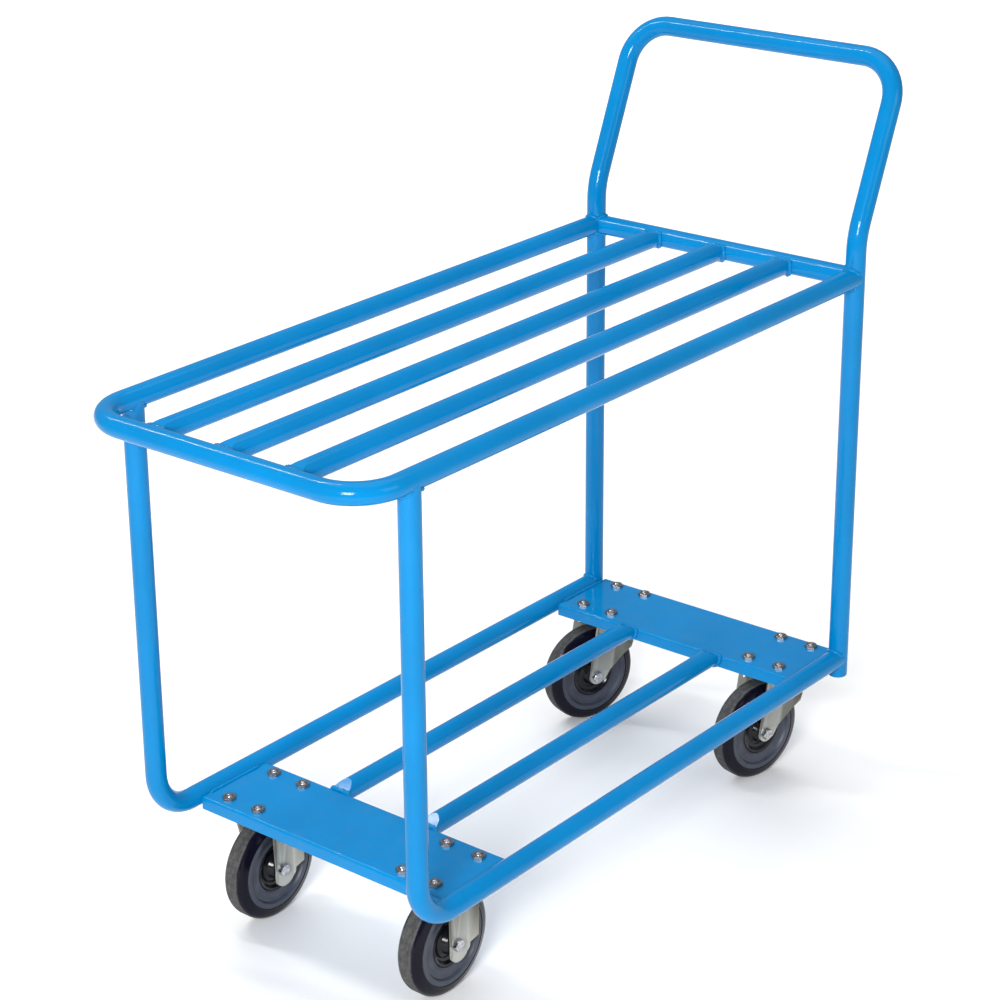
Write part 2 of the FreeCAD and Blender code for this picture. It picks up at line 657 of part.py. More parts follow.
# Rigid casters: base plate and two legs in one pressing.
wingReach = "Dims.wingLength * cos(Dims.wingAngle * 1 deg)"
footDrop = "Dims.rigidFootDrop"
rigidFoot = "((Dims.rigidFront + Dims.rigidRear) / 2 + 1.7)"
for end, side, centreX, centreY in casters:
    if end == "rear":
        continue
    tag = "%s_%s" % (end, side)
    sheets = legSheets("RigidLegs_" + tag,
                       ("Dims.rigidFront", "Dims.wingLength * 1.5", "Dims.wingAngle"),
                       ("Dims.rigidRear", "Dims.wingLength * 1.5", "Dims.wingAngle"), "0", "0")
    plateZ = baseUnderZ + " + 1"
    corners = [
        ("-Dims.rigidRear - 1", plateZ),
        ("-Dims.rigidRear - 1 - %s" % wingReach, axleZ + " + 60"),
        ("-Dims.rigidRear - %s" % wingReach, axleZ + " + 1.5"),
        ("-Dims.rigidRear", axleZ + " - " + footDrop),
        ("Dims.rigidFront", axleZ + " - " + footDrop),
        ("Dims.rigidFront", axleZ),
        ("Dims.rigidFront + %s" % wingReach, axleZ + " + 36"),
        ("Dims.rigidFront + 4 + %s" % wingReach, axleZ + " + 60"),
        ("Dims.rigidFront + 3", plateZ)]
    shape = sideOutline("RigidSide_" + tag, corners, "(Dims.rigidFront - Dims.rigidRear) / 2",
                        axleZ + " - " + footDrop, rigidFoot)
    legs = cut("RigidLegsBored_" + tag, common("RigidPressing_" + tag, sheets, shape),
               axleHoleTool("RigidAxleHole_" + tag, "0"))
    place(legs, centreX, centreY, "0")
    plate = cut("RigidPlateDrilled_" + tag, basePlate("RigidPlate_" + tag, centreX, centreY),
                drillPattern("RigidHoles_" + tag, centreX, centreY))
    finish(tag + "_fork", fuse("RigidFork_" + tag, [legs, plate]))

# Swivelling casters: a fixed base plate with its kingpin, and below it a turning crown whose
# legs lean forward to the axle.
crownTop = "(%s - Dims.raceDepth)" % baseUnderZ
crownUnder = "(%s - Dims.crownSheet)" % crownTop
trail = {"left": "Dims.leftTrail", "right": "Dims.rightTrail"}
for end, side, centreX, centreY in casters:
    if end == "front":
        continue
    tag = "%s_%s" % (end, side)
    plate = basePlate("SwivelPlate_" + tag, centreX, centreY)
    race = doc.addObject("Part::Cone", "Race_" + tag)
    bind(race, Radius1="Dims.crownDiameter / 2 - 14", Radius2="Dims.crownDiameter / 2 - 9",
         Height="Dims.raceDepth - Dims.crownGap")
    place(race, centreX, centreY, crownTop + " + Dims.crownGap")
    pin = cylinder("PinShank_" + tag, "Dims.kingpinDiameter / 2",
                   "Dims.raceDepth + Dims.crownSheet + 1", None, centreX, centreY,
                   crownUnder + " - 1")
    pinHead = doc.addObject("Part::Cone", "PinHead_" + tag)
    bind(pinHead, Radius1="Dims.kingpinDiameter / 2 + 1", Radius2="Dims.kingpinDiameter / 2 + 4",
         Height="Dims.pinHeadHeight")
    place(pinHead, centreX, centreY, crownUnder + " - Dims.pinHeadHeight - Dims.crownGap")
    whole = fuse("SwivelBase_" + tag, [plate, race, pin, pinHead])
    finish(tag + "_swivel_base",
           cut("SwivelBaseDrilled_" + tag, whole,
               drillPattern("SwivelHoles_" + tag, centreX, centreY)))

    # The turning fork about the kingpin axis: a round crown, a web out to the legs, and a
    # window through each front margin.
    sheets = legSheets("SwivelLegs_" + tag,
                       ("Dims.swivelFront", "Dims.swivelFrontWing", "Dims.swivelFrontAngle"),
                       ("Dims.swivelRear", "Dims.swivelRearWing", "Dims.wingAngle"),
                       "Dims.casterLead", "-Dims.swivelLean")
    corners = [
        ("Dims.casterLead - 48.5", crownTop), ("Dims.casterLead - 48.5", axleZ + " + 46"),
        ("Dims.casterLead - 46", axleZ + " + 36.5"), ("Dims.casterLead - 38", axleZ + " + 27"),
        ("Dims.casterLead - 27", axleZ + " + 11"), ("Dims.casterLead - 13", axleZ + " - 9"),
        ("Dims.casterLead + 8", axleZ + " - 3"), ("Dims.casterLead + 8", axleZ + " + 10"),
        ("Dims.casterLead + 12", axleZ + " + 45"), ("Dims.casterLead + 7.5", crownTop)]
    shape = sideOutline("SwivelSide_" + tag, corners, "Dims.casterLead - 2.5", axleZ, "12")
    legs = common("SwivelPressing_" + tag, sheets, shape)
    crown = cylinder("Crown_" + tag, "Dims.crownDiameter / 2", "Dims.crownSheet", None,
                     "0", "0", crownUnder)
    webHalf = "(%s + Dims.forkSheet / 2)" % forkHalf
    web = box("CrownWeb_" + tag, "Dims.casterLead - 2", "2 * " + webHalf,
              "Dims.crownSheet", "0", "-" + webHalf, crownUnder)
    pinHole = cylinder("PinHole_" + tag, "Dims.kingpinDiameter / 2 + Dims.kingpinGap",
                       "Dims.crownSheet * 10", None, "0", "0", crownUnder + " - Dims.crownSheet * 4")
    window = box("Window_" + tag, "Dims.windowWidth", "Dims.basePlateLength",
                 "Dims.windowHeight", "Dims.casterLead - 2", "-Dims.basePlateLength / 2",
                 crownTop + " - Dims.windowDrop")
    fork = cut("SwivelForkShape_" + tag, fuse("SwivelWhole_" + tag, [legs, crown, web]),
               fuse("SwivelDrilling_" + tag,
                    [pinHole, window, axleHoleTool("SwivelAxleHole_" + tag, "Dims.casterLead")]))
    finish(tag + "_fork", settle("SwivelFork_" + tag, fork, centreX, centreY, trail[side]))


# Axle bolt with a hexagon head outside the +Y leg, and its nut outside the -Y leg.
def axlePieces(tag, lead):
    axleHead = doc.addObject("Part::Prism", "AxleHead_" + tag)
    axleHead.Polygon = 6
    axleHead.Placement = FreeCAD.Placement(FreeCAD.Vector(), FreeCAD.Rotation(alongY, 90))
    bind(axleHead, Circumradius="Dims.axleHeadFlats / 2 / cos(30 deg)",
         Height="Dims.axleHeadHeight")
    place(axleHead, lead, forkOutside + " + Dims.seatGap", axleZ)
    headRound = doc.addObject("Part::Cone", "AxleHeadRound_" + tag)
    headRound.Placement = FreeCAD.Placement(FreeCAD.Vector(), FreeCAD.Rotation(alongY, 90))
    bind(headRound, Radius1="Dims.axleHeadFlats / 2 + Dims.axleHeadHeight",
         Radius2="Dims.axleHeadFlats / 2 - 0.3", Height="Dims.axleHeadHeight + Dims.seatGap")
    place(headRound, lead, forkOutside, axleZ)
    shankLength = "2 * %s + Dims.axleNutHeight + 2 * Dims.axleTip" % forkOutside
    shank = cylinder("AxleShank_" + tag, "Dims.axleDiameter / 2", shankLength, alongY,
                     lead, "-%s - Dims.axleNutHeight - Dims.axleTip" % forkOutside, axleZ)
    bolt = fuse("AxleBolt_" + tag, [common("AxleHexagon_" + tag, axleHead, headRound), shank])
    nut = doc.addObject("Part::Prism", "AxleNutBlock_" + tag)
    nut.Polygon = 6
    nut.Placement = FreeCAD.Placement(FreeCAD.Vector(), FreeCAD.Rotation(alongY, 90))
    bind(nut, Circumradius="Dims.axleHeadFlats / 2 / cos(30 deg)", Height="Dims.axleNutHeight")
    place(nut, lead, "-%s - Dims.axleNutHeight - Dims.seatGap" % forkOutside, axleZ)
    nutHole = cylinder("AxleNutHole_" + tag, "Dims.axleDiameter / 2 + Dims.boltFit",
                       "Dims.axleNutHeight * 2", alongY,
                       lead, "-%s - Dims.axleNutHeight * 1.5" % forkOutside, axleZ)
    return bolt, cut("AxleNut_" + tag, nut, nutHole)


# Wheel profile, revolved about Y: tyre with a flat tread and round shoulders, dished core,
# hub with the axle bore.
def revolved(name, corners):
    body = doc.addObject("PartDesign::Body", name)
    drawing = sketch(body, name + "Profile", "XY_Plane")
    outline(drawing, corners)
    doc.recompute()
    spin = body.newObject("PartDesign::Revolution", name + "Turned")
    spin.Profile = drawing
    spin.ReferenceAxis = (drawing, ["H_Axis"])
    spin.Angle = 360
    body.Tip = spin
    return body


def mirrored(corners):
    # Adds the other half of a profile that is symmetric about the wheel's middle plane.
    return corners + [("-(%s)" % x, y) for x, y in reversed(corners)]


halfTyre = "Dims.wheelWidth / 2"
hubFace = "(%s - 0.6)" % forkHalf
tyreTop = axleZ
coreTop = "(%s - Dims.tyreDepth)" % tyreTop
hubTop = "Dims.hubDiameter / 2"
boreTop = "Dims.axleDiameter / 2 + Dims.axleClearance"
tyreHalf = [
    ("0.9", tyreTop + " - 0.5"), ("1.4", tyreTop), ("3.6", tyreTop), ("4.1", tyreTop + " - 0.5"),
    ("4.9", tyreTop + " - 0.5"), ("5.5", tyreTop), ("6.8", tyreTop + " - 0.1"),
    ("9.0", tyreTop + " - 0.9"), ("10.9", tyreTop + " - 2.5"), ("12.2", tyreTop + " - 4.6"),
    ("13.4", tyreTop + " - 7.6"), (halfTyre + " - 0.7", tyreTop + " - 10.8"),
    (halfTyre, coreTop + " + 1.2"), (halfTyre + " - 0.3", coreTop)]
coreHalf = [
    (halfTyre + " - 0.6", coreTop), (halfTyre, coreTop + " - 0.8"),
    (halfTyre, coreTop + " - 5.6"), (halfTyre + " - 0.6", coreTop + " - 6.4"),
    (halfTyre + " - 3.2", coreTop + " - 8"), (halfTyre + " - 4.4", coreTop + " - 11"),
    (halfTyre + " - 4.4", hubTop + " + 2.5"), (halfTyre + " - 3.2", hubTop + " + 0.6"),
    (halfTyre + " - 3.4", hubTop)]
hubHalf = [
    (halfTyre + " - 4", hubTop), (halfTyre + " - 2.4", hubTop + " - 1.5"),
    (halfTyre + " - 3", hubTop + " - 4"), (halfTyre + " - 6", hubTop + " - 7"),
    (halfTyre + " - 6.5", hubTop + " - 11"), (halfTyre + " - 4.5", hubTop + " - 15"),
    (hubFace + " - 1.2", hubTop + " - 18"), (hubFace, hubTop + " - 19.5"),
    (hubFace, boreTop)]

for end, side, centreX, centreY in casters:
    tag = "%s_%s" % (end, side)
    lead = "Dims.casterLead" if end == "rear" else "0"
    angle = trail[side] if end == "rear" else "0"
    bolt, nut = axlePieces(tag, lead)
    finish(tag + "_axle", settle("Axle_" + tag, bolt, centreX, centreY, angle))
    finish(tag + "_axle_nut", settle("AxleNutSet_" + tag, nut, centreX, centreY, angle))
    for part, profile in (("tire", tyreHalf), ("wheel_core", coreHalf), ("hub", hubHalf)):
        solid = revolved("%s_%s_Turning" % (part, tag), mirrored(profile))
        solid.Placement = FreeCAD.Placement(FreeCAD.Vector(), FreeCAD.Rotation(upwards, 90))
        place(solid, lead, "0", axleZ)
        finish("%s_%s" % (tag, part),
               settle("%s_%s_Set" % (part, tag), solid, centreX, centreY, angle))

doc.recompute()

for thing in doc.Objects:
    if "Invalid" in thing.State or "Error" in thing.State:
        raise RuntimeError("object %s is in state %s" % (thing.Label, thing.State))
for node, thing in parts.items():
    shape = thing.Shape
    if shape.isNull() or not shape.isValid() or not shape.Solids:
        raise RuntimeError("part %s has no valid solid" % node)
    shape.exportStep("parts/%s.step" % node)
    print(node, len(shape.Solids), round(shape.Volume))
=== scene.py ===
import json
import math
import random

import bmesh
import bpy
from mathutils import Matrix, Vector


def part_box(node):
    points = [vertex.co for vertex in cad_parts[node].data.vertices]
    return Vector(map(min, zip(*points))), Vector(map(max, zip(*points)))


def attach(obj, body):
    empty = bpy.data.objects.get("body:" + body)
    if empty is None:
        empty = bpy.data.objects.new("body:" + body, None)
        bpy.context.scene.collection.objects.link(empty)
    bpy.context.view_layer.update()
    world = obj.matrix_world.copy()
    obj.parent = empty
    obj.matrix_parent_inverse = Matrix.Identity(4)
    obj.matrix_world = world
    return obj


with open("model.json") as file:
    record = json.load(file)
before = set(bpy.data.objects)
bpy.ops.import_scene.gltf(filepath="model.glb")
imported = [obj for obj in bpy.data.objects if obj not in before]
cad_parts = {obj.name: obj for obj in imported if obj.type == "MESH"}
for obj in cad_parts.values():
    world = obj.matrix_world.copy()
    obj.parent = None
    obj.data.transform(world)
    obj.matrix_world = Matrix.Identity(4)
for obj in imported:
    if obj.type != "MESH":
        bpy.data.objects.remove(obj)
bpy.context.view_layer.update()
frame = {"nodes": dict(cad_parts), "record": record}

print("frame loaded:", len(frame["nodes"]), "nodes")

nodes = frame["nodes"]
along = {"x": Vector((1, 0, 0)), "y": Vector((0, 1, 0)), "z": Vector((0, 0, 1))}


def middle(node):
    low, high = (Vector(corner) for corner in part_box(node))
    return (low + high) / 2


# places worked out from the CAD nodes
tubeRadius = (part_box("deck_slat_center")[1][2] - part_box("deck_slat_center")[0][2]) / 2
deckZ = middle("deck_slat_center").z
shelfZ = middle("lower_slat_left").z
uprightX = middle("deck_rear_crossbar").x
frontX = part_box("deck_hoop")[1][0] - tubeRadius
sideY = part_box("deck_hoop")[1][1] - tubeRadius
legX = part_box("lower_rail_left")[1][0] - tubeRadius
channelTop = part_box("front_caster_channel")[1][2]
sides = {"left": 1, "right": -1}
wheels = ["front_left", "front_right", "rear_left", "rear_right"]


# ---- shader helpers
class Wire:  # one socket, or a plain number or colour, that can be used in expressions
    def __init__(self, finish, value):
        self.finish = finish
        self.value = value

    def mathNode(self, operation, first, second=0.0):
        return self.finish.node("ShaderNodeMath", {"operation": operation}, [first, second])

    def __add__(self, other):
        return self.mathNode("ADD", self, other)

    def __radd__(self, other):
        return self.mathNode("ADD", other, self)

    def __sub__(self, other):
        return self.mathNode("SUBTRACT", self, other)

    def __rsub__(self, other):
        return self.mathNode("SUBTRACT", other, self)

    def __mul__(self, other):
        return self.mathNode("MULTIPLY", self, other)

    def __rmul__(self, other):
        return self.mathNode("MULTIPLY", other, self)

    def __pow__(self, other):
        return self.mathNode("POWER", self, other)

    def absolute(self):
        return self.mathNode("ABSOLUTE", self)

    def sine(self):
        return self.mathNode("SINE", self)

    def ramp(self, low, high):  # 0 below low, 1 above high, smooth between
        return self.finish.node("ShaderNodeMapRange", {"interpolation_type": "SMOOTHSTEP"},
                                {"Value": self, "From Min": low, "From Max": high})


class Finish:  # a material made of nodes
    def __init__(self, name):
        self.material = bpy.data.materials.new(name)
        self.material.use_nodes = True
        self.tree = self.material.node_tree
        self.tree.nodes.clear()
        self.shader = self.tree.nodes.new("ShaderNodeBsdfPrincipled")
        output = self.tree.nodes.new("ShaderNodeOutputMaterial")
        self.tree.links.new(self.shader.outputs["BSDF"], output.inputs["Surface"])

    def put(self, socket, value):
        if isinstance(value, Wire):
            self.tree.links.new(value.value, socket)
        elif isinstance(value, (tuple, list)) and len(value) == 3 and socket.type == "RGBA":
            socket.default_value = (*value, 1.0)
        else:
            socket.default_value = value

    def node(self, kind, settings=None, inputs=None, output=0):
        made = self.tree.nodes.new(kind)
        for name, value in (settings or {}).items():
            setattr(made, name, value)
        pairs = inputs.items() if isinstance(inputs, dict) else enumerate(inputs or [])
        for name, value in pairs:
            self.put(made.inputs[name], value)
        return Wire(self, made.outputs[output])

    def place(self, centre=(0, 0, 0), turned=0.0):  # object coordinates, centred and turned about Z
        coordinates = self.node("ShaderNodeTexCoord", output="Object")
        if centre == (0, 0, 0) and turned == 0.0:
            return coordinates
        settings = {"vector_type": "TEXTURE"}
        return self.node("ShaderNodeMapping", settings,
                         {"Vector": coordinates, "Location": centre, "Rotation": (0, 0, turned)})

    def noise(self, where, scale, detail=3.0, roughness=0.55, stretch=None):
        if stretch:
            where = self.node("ShaderNodeMapping", None, {"Vector": where, "Scale": stretch})
        return self.node("ShaderNodeTexNoise", None,
                         {"Vector": where, "Scale": scale, "Detail": detail,
                          "Roughness": roughness})

    def apart(self, where):  # x, y and z of a vector
        split = self.tree.nodes.new("ShaderNodeSeparateXYZ")
        self.put(split.inputs[0], where)
        return [Wire(self, socket) for socket in split.outputs]

    def blend(self, factor, first, second):
        return self.node("ShaderNodeMix", {"data_type": "RGBA"},
                         {0: factor, 6: first, 7: second}, output=2)

    def edges(self):  # 1 along convex edges, about 0.5 on flat places
        return self.node("ShaderNodeNewGeometry", output="Pointiness")

    def bump(self, height, strength, distance):
        return self.node("ShaderNodeBump", None,
                         {"Height": height, "Strength": strength, "Distance": distance})

    def shade(self, **values):
        for name, value in values.items():
            self.put(self.shader.inputs[name.replace("_", " ")], value)
        return self.material


# ---- blue powder coat on tubes, channels and weld beads
bluePaint = {
    "colour": (0.0, 0.205, 0.50),
    "deepColour": (0.0, 0.18, 0.44),
    # dustColour is also the grey painted in for reflected light on the channels
    "dustColour": (0.06, 0.19, 0.29),
    "roughness": 0.11,
    "peelScale": 420.0,
    "dust": 0.05,                # how much dust settles on the tubes
    "channelDustAndSheen": 0.16,         # and on the flat channels, where the greyer blotches are partly dust and partly a painted reflection of the pale surroundings
}


def makeBluePaint(name, dust):
    finish = Finish(name)
    where = finish.place()
    broad = finish.noise(where, 6.0)
    peel = finish.noise(where, bluePaint["peelScale"], 2.0)
    grimeAndSheen = finish.noise(where, 38.0, 5.0, 0.7)
    colour = finish.blend(broad.ramp(0.35, 0.7), bluePaint["deepColour"], bluePaint["colour"])
    # greyer blotches: dust on the tubes; on the channels, set heavier, partly dust and partly a
    # painted reflection that greys their flat tops
    dustAndSheen = grimeAndSheen.ramp(0.42, 0.75) * dust
    colour = finish.blend(dustAndSheen, colour, bluePaint["dustColour"])
    scratch = finish.noise(where, 90.0, 6.0, 0.6, stretch=(0.15, 1.0, 1.0))
    roughness = bluePaint["roughness"] + 0.2 * dustAndSheen + 0.07 * scratch.ramp(0.55, 0.7)
    return finish.shade(Base_Color=colour, Roughness=roughness, Specular_IOR_Level=0.2,
                        Normal=finish.bump(peel, 0.05, 0.0004))


# ---- zinc plate on the forks
zincFork = {
    "colour": (0.105, 0.105, 0.078),
    "paleColour": (0.17, 0.172, 0.142),
    "stainColour": (0.12, 0.095, 0.06),
    "rubbedColour": (0.55, 0.56, 0.53),
    "roughness": 0.42,
}


def makeZincFork():
    finish = Finish("zincFork")
    where = finish.place()
    cloud = finish.noise(where, 22.0, 4.0)
    grain = finish.noise(where, 700.0, 2.0, 0.5, stretch=(1.0, 1.0, 0.2))
    stain = finish.noise(where, 55.0, 5.0, 0.7)
    colour = finish.blend(cloud.ramp(0.35, 0.75), zincFork["colour"], zincFork["paleColour"])
    colour = finish.blend(stain.ramp(0.60, 0.80) * 0.6, colour, zincFork["stainColour"])
    rubbed = finish.edges().ramp(0.54, 0.62)
    colour = finish.blend(rubbed * 0.7, colour, zincFork["rubbedColour"])
    roughness = zincFork["roughness"] + 0.14 * (cloud - 0.5) - 0.12 * rubbed
    return finish.shade(Base_Color=colour, Metallic=0.12, Roughness=roughness,
                        Specular_IOR_Level=0.3,
                        Normal=finish.bump(grain, 0.12, 0.0004))


# ---- bright and dark fasteners
brightBolts = {"colour": (0.70, 0.71, 0.75), "dullColour": (0.33, 0.33, 0.35)}
# the nuts' brightColour marks worn metal and also paints in their glints
darkNuts = {"colour": (0.060, 0.054, 0.050), "brightColour": (0.45, 0.43, 0.41)}


def makeBrightBolts():
    finish = Finish("brightBolts")
    where = finish.place()
    cloud = finish.noise(where, 260.0, 4.0)
    colour = finish.blend(cloud.ramp(0.35, 0.7), brightBolts["dullColour"], brightBolts["colour"])
    return finish.shade(Base_Color=colour, Metallic=1.0, Roughness=0.16 + 0.16 * cloud,
                        Normal=finish.bump(finish.noise(where, 900.0), 0.2, 0.0003))


def makeDarkNuts():
    finish = Finish("darkNuts")
    where = finish.place()
    cloud = finish.noise(where, 300.0, 4.0)
    # pale convex edges and pale blotches on the nuts: partly real wear, partly painted highlights
    # standing in for glints
    worn = finish.edges().ramp(0.53, 0.60)
    colour = finish.blend(cloud.ramp(0.5, 0.75) * 0.5, darkNuts["colour"],
                          darkNuts["brightColour"])
    colour = finish.blend(worn * 0.6, colour, darkNuts["brightColour"])
    return finish.shade(Base_Color=colour, Metallic=0.9, Roughness=0.22 + 0.2 * cloud,
                        Normal=finish.bump(finish.noise(where, 700.0), 0.25, 0.0003))


# ---- wheels: worn tread, glossy tyre sides, grey core, black hub
tyreLooks = {
    "side": (0.004, 0.0035, 0.010),
    "tread": (0.085, 0.085, 0.083),
    "treadDark": (0.045, 0.045, 0.047),
    "treadHalfWidth": 0.0085,
    "treadSoftness": 0.0012,     # half the width over which the tread fades into the side
    "treadWander": 0.0035,       # how unevenly it does so
    "wornFrom": 0.0595,          # radii between which the wear sets in
    "wornTo": 0.0615,
}
coreLooks = {
    "colour": (0.026, 0.032, 0.050),
    "paleColour": (0.048, 0.057, 0.083),
    "ringDensity": 5200.0,       # turning marks, in radians per metre of radius
}
hubLooks = {
    "colour": (0.005, 0.0055, 0.008),
    "dustColour": (0.10, 0.10, 0.10),
    "roughness": 0.12,
}


def wheelTurn(wheel):  # centre of the wheel and how far it stands turned about Z
    centre = middle(wheel + "_tire")
    for joint in frame["record"]["behaviour"]["joints"]:
        if joint["child"] == wheel + "_wheel":
            return tuple(centre), math.atan2(-joint["axis"][0], joint["axis"][1])
    raise ValueError("no joint turns " + wheel)


def aroundAxle(finish, wheel):  # place in the wheel, distance across it, and radius
    centre, turned = wheelTurn(wheel)
    where = finish.place(centre, turned)
    x, y, z = finish.apart(where)
    return where, y, (x * x + z * z) ** 0.5


def makeTyre(wheel):
    finish = Finish("tyre_" + wheel)
    where, across, radius = aroundAxle(finish, wheel)
    wander = finish.noise(where, 45.0, 3.0)
    edge = across.absolute() + (wander - 0.5) * tyreLooks["treadWander"]
    onTread = 1 - edge.ramp(tyreLooks["treadHalfWidth"] - tyreLooks["treadSoftness"],
                            tyreLooks["treadHalfWidth"] + tyreLooks["treadSoftness"])
    outer = radius.ramp(tyreLooks["wornFrom"], tyreLooks["wornTo"])
    worn = onTread * outer
    scuff = finish.noise(where, 160.0, 5.0, 0.7)
    treadColour = finish.blend(scuff.ramp(0.35, 0.65), tyreLooks["treadDark"],
                               tyreLooks["tread"])
    colour = finish.blend(worn, tyreLooks["side"], treadColour)
    roughness = 0.10 + 0.5 * worn + 0.06 * scuff
    return finish.shade(Base_Color=colour, Roughness=roughness, Specular_IOR_Level=0.17,
                        Normal=finish.bump(scuff * (0.06 + worn), 0.35, 0.0006))


def makeCore(wheel):
    finish = Finish("core_" + wheel)
    where, across, radius = aroundAxle(finish, wheel)
    rings = (radius * coreLooks["ringDensity"]).sine()
    smear = finish.noise(where, 60.0, 4.0)
    colour = finish.blend(smear.ramp(0.3, 0.75), coreLooks["colour"], coreLooks["paleColour"])
    return finish.shade(Base_Color=colour, Roughness=0.33 + 0.2 * smear,
                        Normal=finish.bump(rings * 0.3 + smear, 0.12, 0.0004))


def makeHub(wheel):
    finish = Finish("hub_" + wheel)
    where = aroundAxle(finish, wheel)[0]
    dust = finish.noise(where, 120.0, 5.0, 0.7)
    colour = finish.blend(dust.ramp(0.6, 0.85) * 0.25, hubLooks["colour"],
                          hubLooks["dustColour"])
    return finish.shade(Base_Color=colour, Roughness=hubLooks["roughness"] + 0.15 * dust,
                        Specular_IOR_Level=0.3, Normal=finish.bump(dust, 0.04, 0.0004))


paint = makeBluePaint("bluePaint", bluePaint["dust"])
channelPaint = makeBluePaint("channelPaint", bluePaint["channelDustAndSheen"])
bySlot = {
    "blue_paint": paint,
    "zinc_fork": makeZincFork(),
    "bright_bolts": makeBrightBolts(),
    "dark_nuts": makeDarkNuts(),
}
byPart = {"tire": makeTyre, "wheel_core": makeCore, "hub": makeHub}


def dress(node, material):
    thing = nodes[node]
    thing.data.materials.clear()
    thing.data.materials.append(material)


for entry in frame["record"]["subparts"]:
    if entry["material_slot"] in bySlot:
        dress(entry["node"], bySlot[entry["material_slot"]])
for name in ("front_caster_channel", "rear_caster_channel"):
    dress(name, channelPaint)
for wheel in wheels:
    for part, make in byPart.items():
        dress("%s_%s" % (wheel, part), make(wheel))
print("materials dressed")


# ---- weld beads
weldBeads = {
    "radius": 0.0026,        # of the bead's own section
    "ripple": 0.16,          # how much each ripple swells it
    "ripplePitch": 0.0045,
    "section": 8,            # sides of the section
    "wander": 0.0004,
    "saddleSteps": 44,
    "saddleStand": 0.0003,   # seam's stand-off from the tube it lies on
    "pressedTop": 0.56,      # the pressed slat ends stay this low on the tube they meet
    "sideClimb": 0.70,       # seams that lie sideways stop short of the tube's outer side
    "slatSteps": 36,
    "slatStand": 0.0004,
    "runStep": 0.0015,
    "runInset": 0.012,       # the straight seams start this far from the channel's folds
    "edgeInset": 0.0005,
}


def newObject(name, mesh, body, material):
    thing = bpy.data.objects.new(name, mesh)
    bpy.context.collection.objects.link(thing)
    thing.data.materials.append(material)
    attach(thing, body)
    return thing


def meshFrom(build, name):
    mesh = bpy.data.meshes.new(name)
    bmesh.ops.recalc_face_normals(build, faces=build.faces)
    build.to_mesh(mesh)
    build.free()
    for face in mesh.polygons:
        face.use_smooth = True
    return mesh


def layBead(build, path, closed, swell=1.0):
    # pushes a small ring along the path, a step at a time
    steps = len(path)
    dice = random.Random(steps + int(abs(path[0].x) * 9000) + int(abs(path[0].y) * 7000))
    rings = []
    travelled = 0.0
    for i, spot in enumerate(path):
        before = path[i - 1] if (i > 0 or closed) else path[i]
        after = path[(i + 1) % steps] if (i < steps - 1 or closed) else path[i]
        travelled += (spot - path[i - 1]).length if i else 0.0
        size = weldBeads["radius"] * swell
        size *= 1 + weldBeads["ripple"] * math.sin(travelled / weldBeads["ripplePitch"] * math.tau)
        if not closed:
            size *= min(1.0, 0.35 + 0.65 * min(i, steps - 1 - i) / 2.0)
        turn = (after - before).to_track_quat("Z", "Y").to_matrix().to_4x4()
        drift = Vector([dice.uniform(-1, 1) * weldBeads["wander"] for _ in range(3)])
        ring = bmesh.ops.create_circle(build, segments=weldBeads["section"], radius=size,
                                       matrix=Matrix.Translation(spot + drift) @ turn)
        rings.append(ring["verts"])
    loops = []
    for verts in rings:
        inRing = set(verts)
        loops.append([edge for edge in build.edges
                      if edge.verts[0] in inRing and edge.verts[1] in inRing])
    return loops


def joinRings(build, loops, closed):
    pairs = list(zip(loops, loops[1:]))
    if closed:
        pairs.append((loops[-1], loops[0]))
    for first, second in pairs:
        bmesh.ops.bridge_loops(build, edges=first + second)
    if not closed:
        for loop in (loops[0], loops[-1]):
            bmesh.ops.edgeloop_fill(build, edges=loop)


def bead(name, path, closed=True, swell=1.0):
    build = bmesh.new()
    joinRings(build, layBead(build, path, closed, swell), closed)
    return newObject(name, meshFrom(build, name), "frame", paint)


def saddle(joint, branch, run, outward, top=0.9, bottom=0.9):
    # where a branch tube, leaving the joint along branch * outward, meets a tube along run;
    # top and bottom say how far round the run tube the seam climbs, 1 being its crown
    across = along[branch] * outward
    runAxis = along[run]
    third = runAxis.cross(along[branch])
    if third.z < 0:
        third = -third
    stand = weldBeads["saddleStand"] * across
    spots = []
    for i in range(weldBeads["saddleSteps"]):
        turn = math.tau * (i + 0.5) / weldBeads["saddleSteps"]
        rise = max(-bottom, min(top, math.sin(turn)))
        reach = math.sqrt(1 - rise * rise)
        spots.append(joint + tubeRadius * (reach * across + math.cos(turn) * runAxis
                                           + rise * third) + stand)
    return spots


for name in ("left", "center", "right"):
    y = middle("deck_slat_" + name).y
    for end, x, outward in (("rear", uprightX, 1), ("front", frontX, -1)):
        seam = saddle(Vector((x, y, deckZ)), "x", "y", outward, weldBeads["pressedTop"])
        bead("weld_slat_%s_%s" % (end, name), seam, swell=1.2)
for side, sign in sides.items():
    y = sideY * sign
    bead("weld_crossbar_" + side, saddle(Vector((uprightX, y, deckZ)), "y", "z", -sign))
    for name, x, z, branch, run, outward in (("hoop", uprightX, deckZ, "x", "z", 1),
                                             ("rail", uprightX, shelfZ, "x", "z", 1),
                                             ("leg", legX, deckZ, "z", "x", -1)):
        seam = saddle(Vector((x, y, z)), branch, run, outward,
                      weldBeads["sideClimb"], weldBeads["sideClimb"])
        bead("weld_%s_%s" % (name, side), seam)


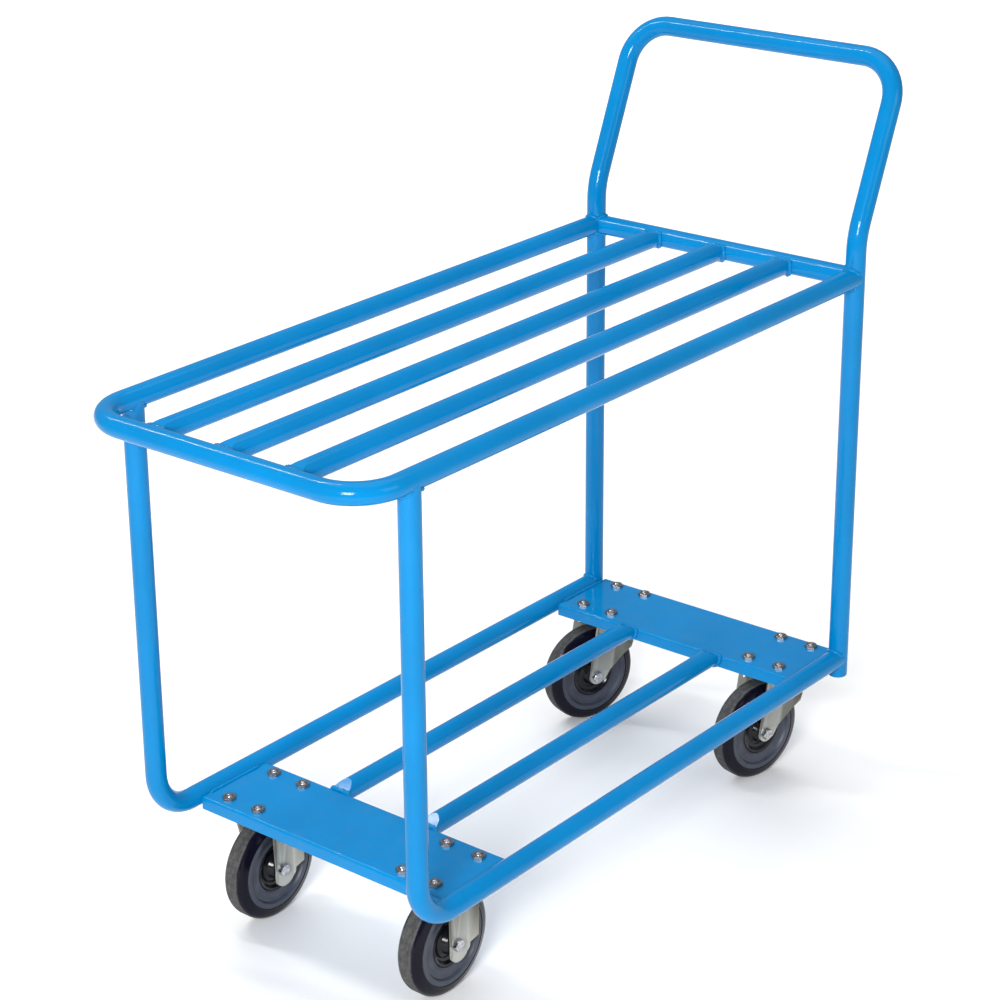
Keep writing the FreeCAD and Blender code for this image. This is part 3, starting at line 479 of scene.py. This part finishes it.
def slatEnd(face, outward, y):
    # around a lower slat where it butts against a channel, level with the sheet on top
    stand = weldBeads["slatStand"]
    lift = channelTop - shelfZ + stand
    spots = []
    for i in range(weldBeads["slatSteps"]):
        turn = math.tau * (i + 0.5) / weldBeads["slatSteps"]
        rise = min(lift, tubeRadius * math.sin(turn))
        spots.append(Vector((face + outward * stand, y + tubeRadius * math.cos(turn),
                             shelfZ + rise)))
    return spots


for side, sign in sides.items():
    y = middle("lower_slat_" + side).y
    low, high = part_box("lower_slat_" + side)
    for end, face, outward in (("rear", low[0], 1), ("front", high[0], -1)):
        bead("weld_lower_slat_%s_%s" % (end, side), slatEnd(face, outward, y), swell=1.15)


def straightRun(start, end):
    count = max(6, int((end - start).length / weldBeads["runStep"]))
    return [start.lerp(end, i / (count - 1)) for i in range(count)]


for node in ("front_caster_channel", "rear_caster_channel"):
    low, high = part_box(node)
    for side, sign in sides.items():
        y = (high[1] - weldBeads["edgeInset"]) * sign
        z = high[2] + weldBeads["slatStand"]
        run = straightRun(Vector((low[0] + weldBeads["runInset"], y, z)),
                          Vector((high[0] - weldBeads["runInset"], y, z)))
        bead("weld_%s_%s" % (node, side), run, closed=False, swell=0.8)
print("weld beads laid")

# ---- floor, light and camera
studio = {
    "floorHalf": 20.0,
    "floorRoughness": 0.75,
    "floorColour": (0.93, 0.93, 0.93),
    "floorTint": (0.90, 0.905, 0.91),
    "worldStrength": 0.32,
    "lamps": {
        "overheadStrip": {"place": (0.4, -1.35, 2.5), "size": (0.03, 1.7), "power": 24.0},
        "bigSoftbox": {"place": (3.1, 1.5, 1.8), "size": (1.0, 1.0), "power": 135.0},
        "sideSoftbox": {"place": (-0.2, 2.9, 1.7), "size": (1.6, 1.2), "power": 12.0},
        "ceiling": {"place": (-0.4, -0.2, 3.6), "size": (3.0, 3.0), "power": 25.0},
        "floorWash": {"place": (-3.4, -3.2, 3.4), "size": (4.5, 4.5), "power": 230.0,
                      "aim": (-3.6, -3.4, 0.0), "mirrored": False},
    },
}


def makeFloor():
    build = bmesh.new()
    bmesh.ops.create_grid(build, x_segments=1, y_segments=1, size=studio["floorHalf"])
    floor = bpy.data.objects.new("floor", meshFrom(build, "floor"))
    bpy.context.collection.objects.link(floor)
    finish = Finish("floorPaper")
    where = finish.place()
    mottle = finish.noise(where, 3.0)
    colour = finish.blend(mottle, studio["floorTint"], studio["floorColour"])
    paper = finish.shade(Base_Color=colour, Roughness=studio["floorRoughness"])
    floor.data.materials.append(paper)


def areaLight(name, place, size, power, aim=(0.0, 0.0, 0.4), mirrored=True):
    data = bpy.data.lights.new(name, "AREA")
    data.energy = power
    data.shape = "RECTANGLE"
    data.size, data.size_y = size
    lamp = bpy.data.objects.new(name, data)
    lamp.location = place
    lamp.visible_glossy = mirrored
    heading = Vector(aim) - Vector(place)
    lamp.rotation_euler = heading.to_track_quat("-Z", "Y").to_euler()
    bpy.context.collection.objects.link(lamp)


def makeStudio():
    makeFloor()
    for name, lamp in studio["lamps"].items():
        areaLight(name, **lamp)
    world = bpy.data.worlds.new("studioWorld")
    world.use_nodes = True
    background = world.node_tree.nodes["Background"]
    background.inputs["Color"].default_value = (1, 1, 1, 1)
    background.inputs["Strength"].default_value = studio["worldStrength"]
    bpy.context.scene.world = world
    bpy.context.scene.view_settings.view_transform = "Standard"


cameraLooks = {
    "place": (2.1489969, 1.6991793, 1.5699206),
    "forwards": (-0.71325435, -0.59691652, -0.36736752),
    "right": (-0.63757496, 0.77026656, -0.01369671),
    "lens": 93.754,
    "sensor": 36.0,
    "clipEnd": 60.0,
    "shift": (0.04715, -0.03507),
}


def makeCamera():
    data = bpy.data.cameras.new("camera")
    data.sensor_width = cameraLooks["sensor"]
    data.lens = cameraLooks["lens"]
    data.shift_x, data.shift_y = cameraLooks["shift"]
    data.clip_end = cameraLooks["clipEnd"]
    camera = bpy.data.objects.new("camera", data)
    forwards = Vector(cameraLooks["forwards"])
    right = Vector(cameraLooks["right"])
    turned = Matrix((right, right.cross(forwards), -forwards)).transposed().to_4x4()
    camera.matrix_world = Matrix.Translation(cameraLooks["place"]) @ turned
    bpy.context.collection.objects.link(camera)
    bpy.context.scene.camera = camera


makeStudio()
makeCamera()
print("studio set")
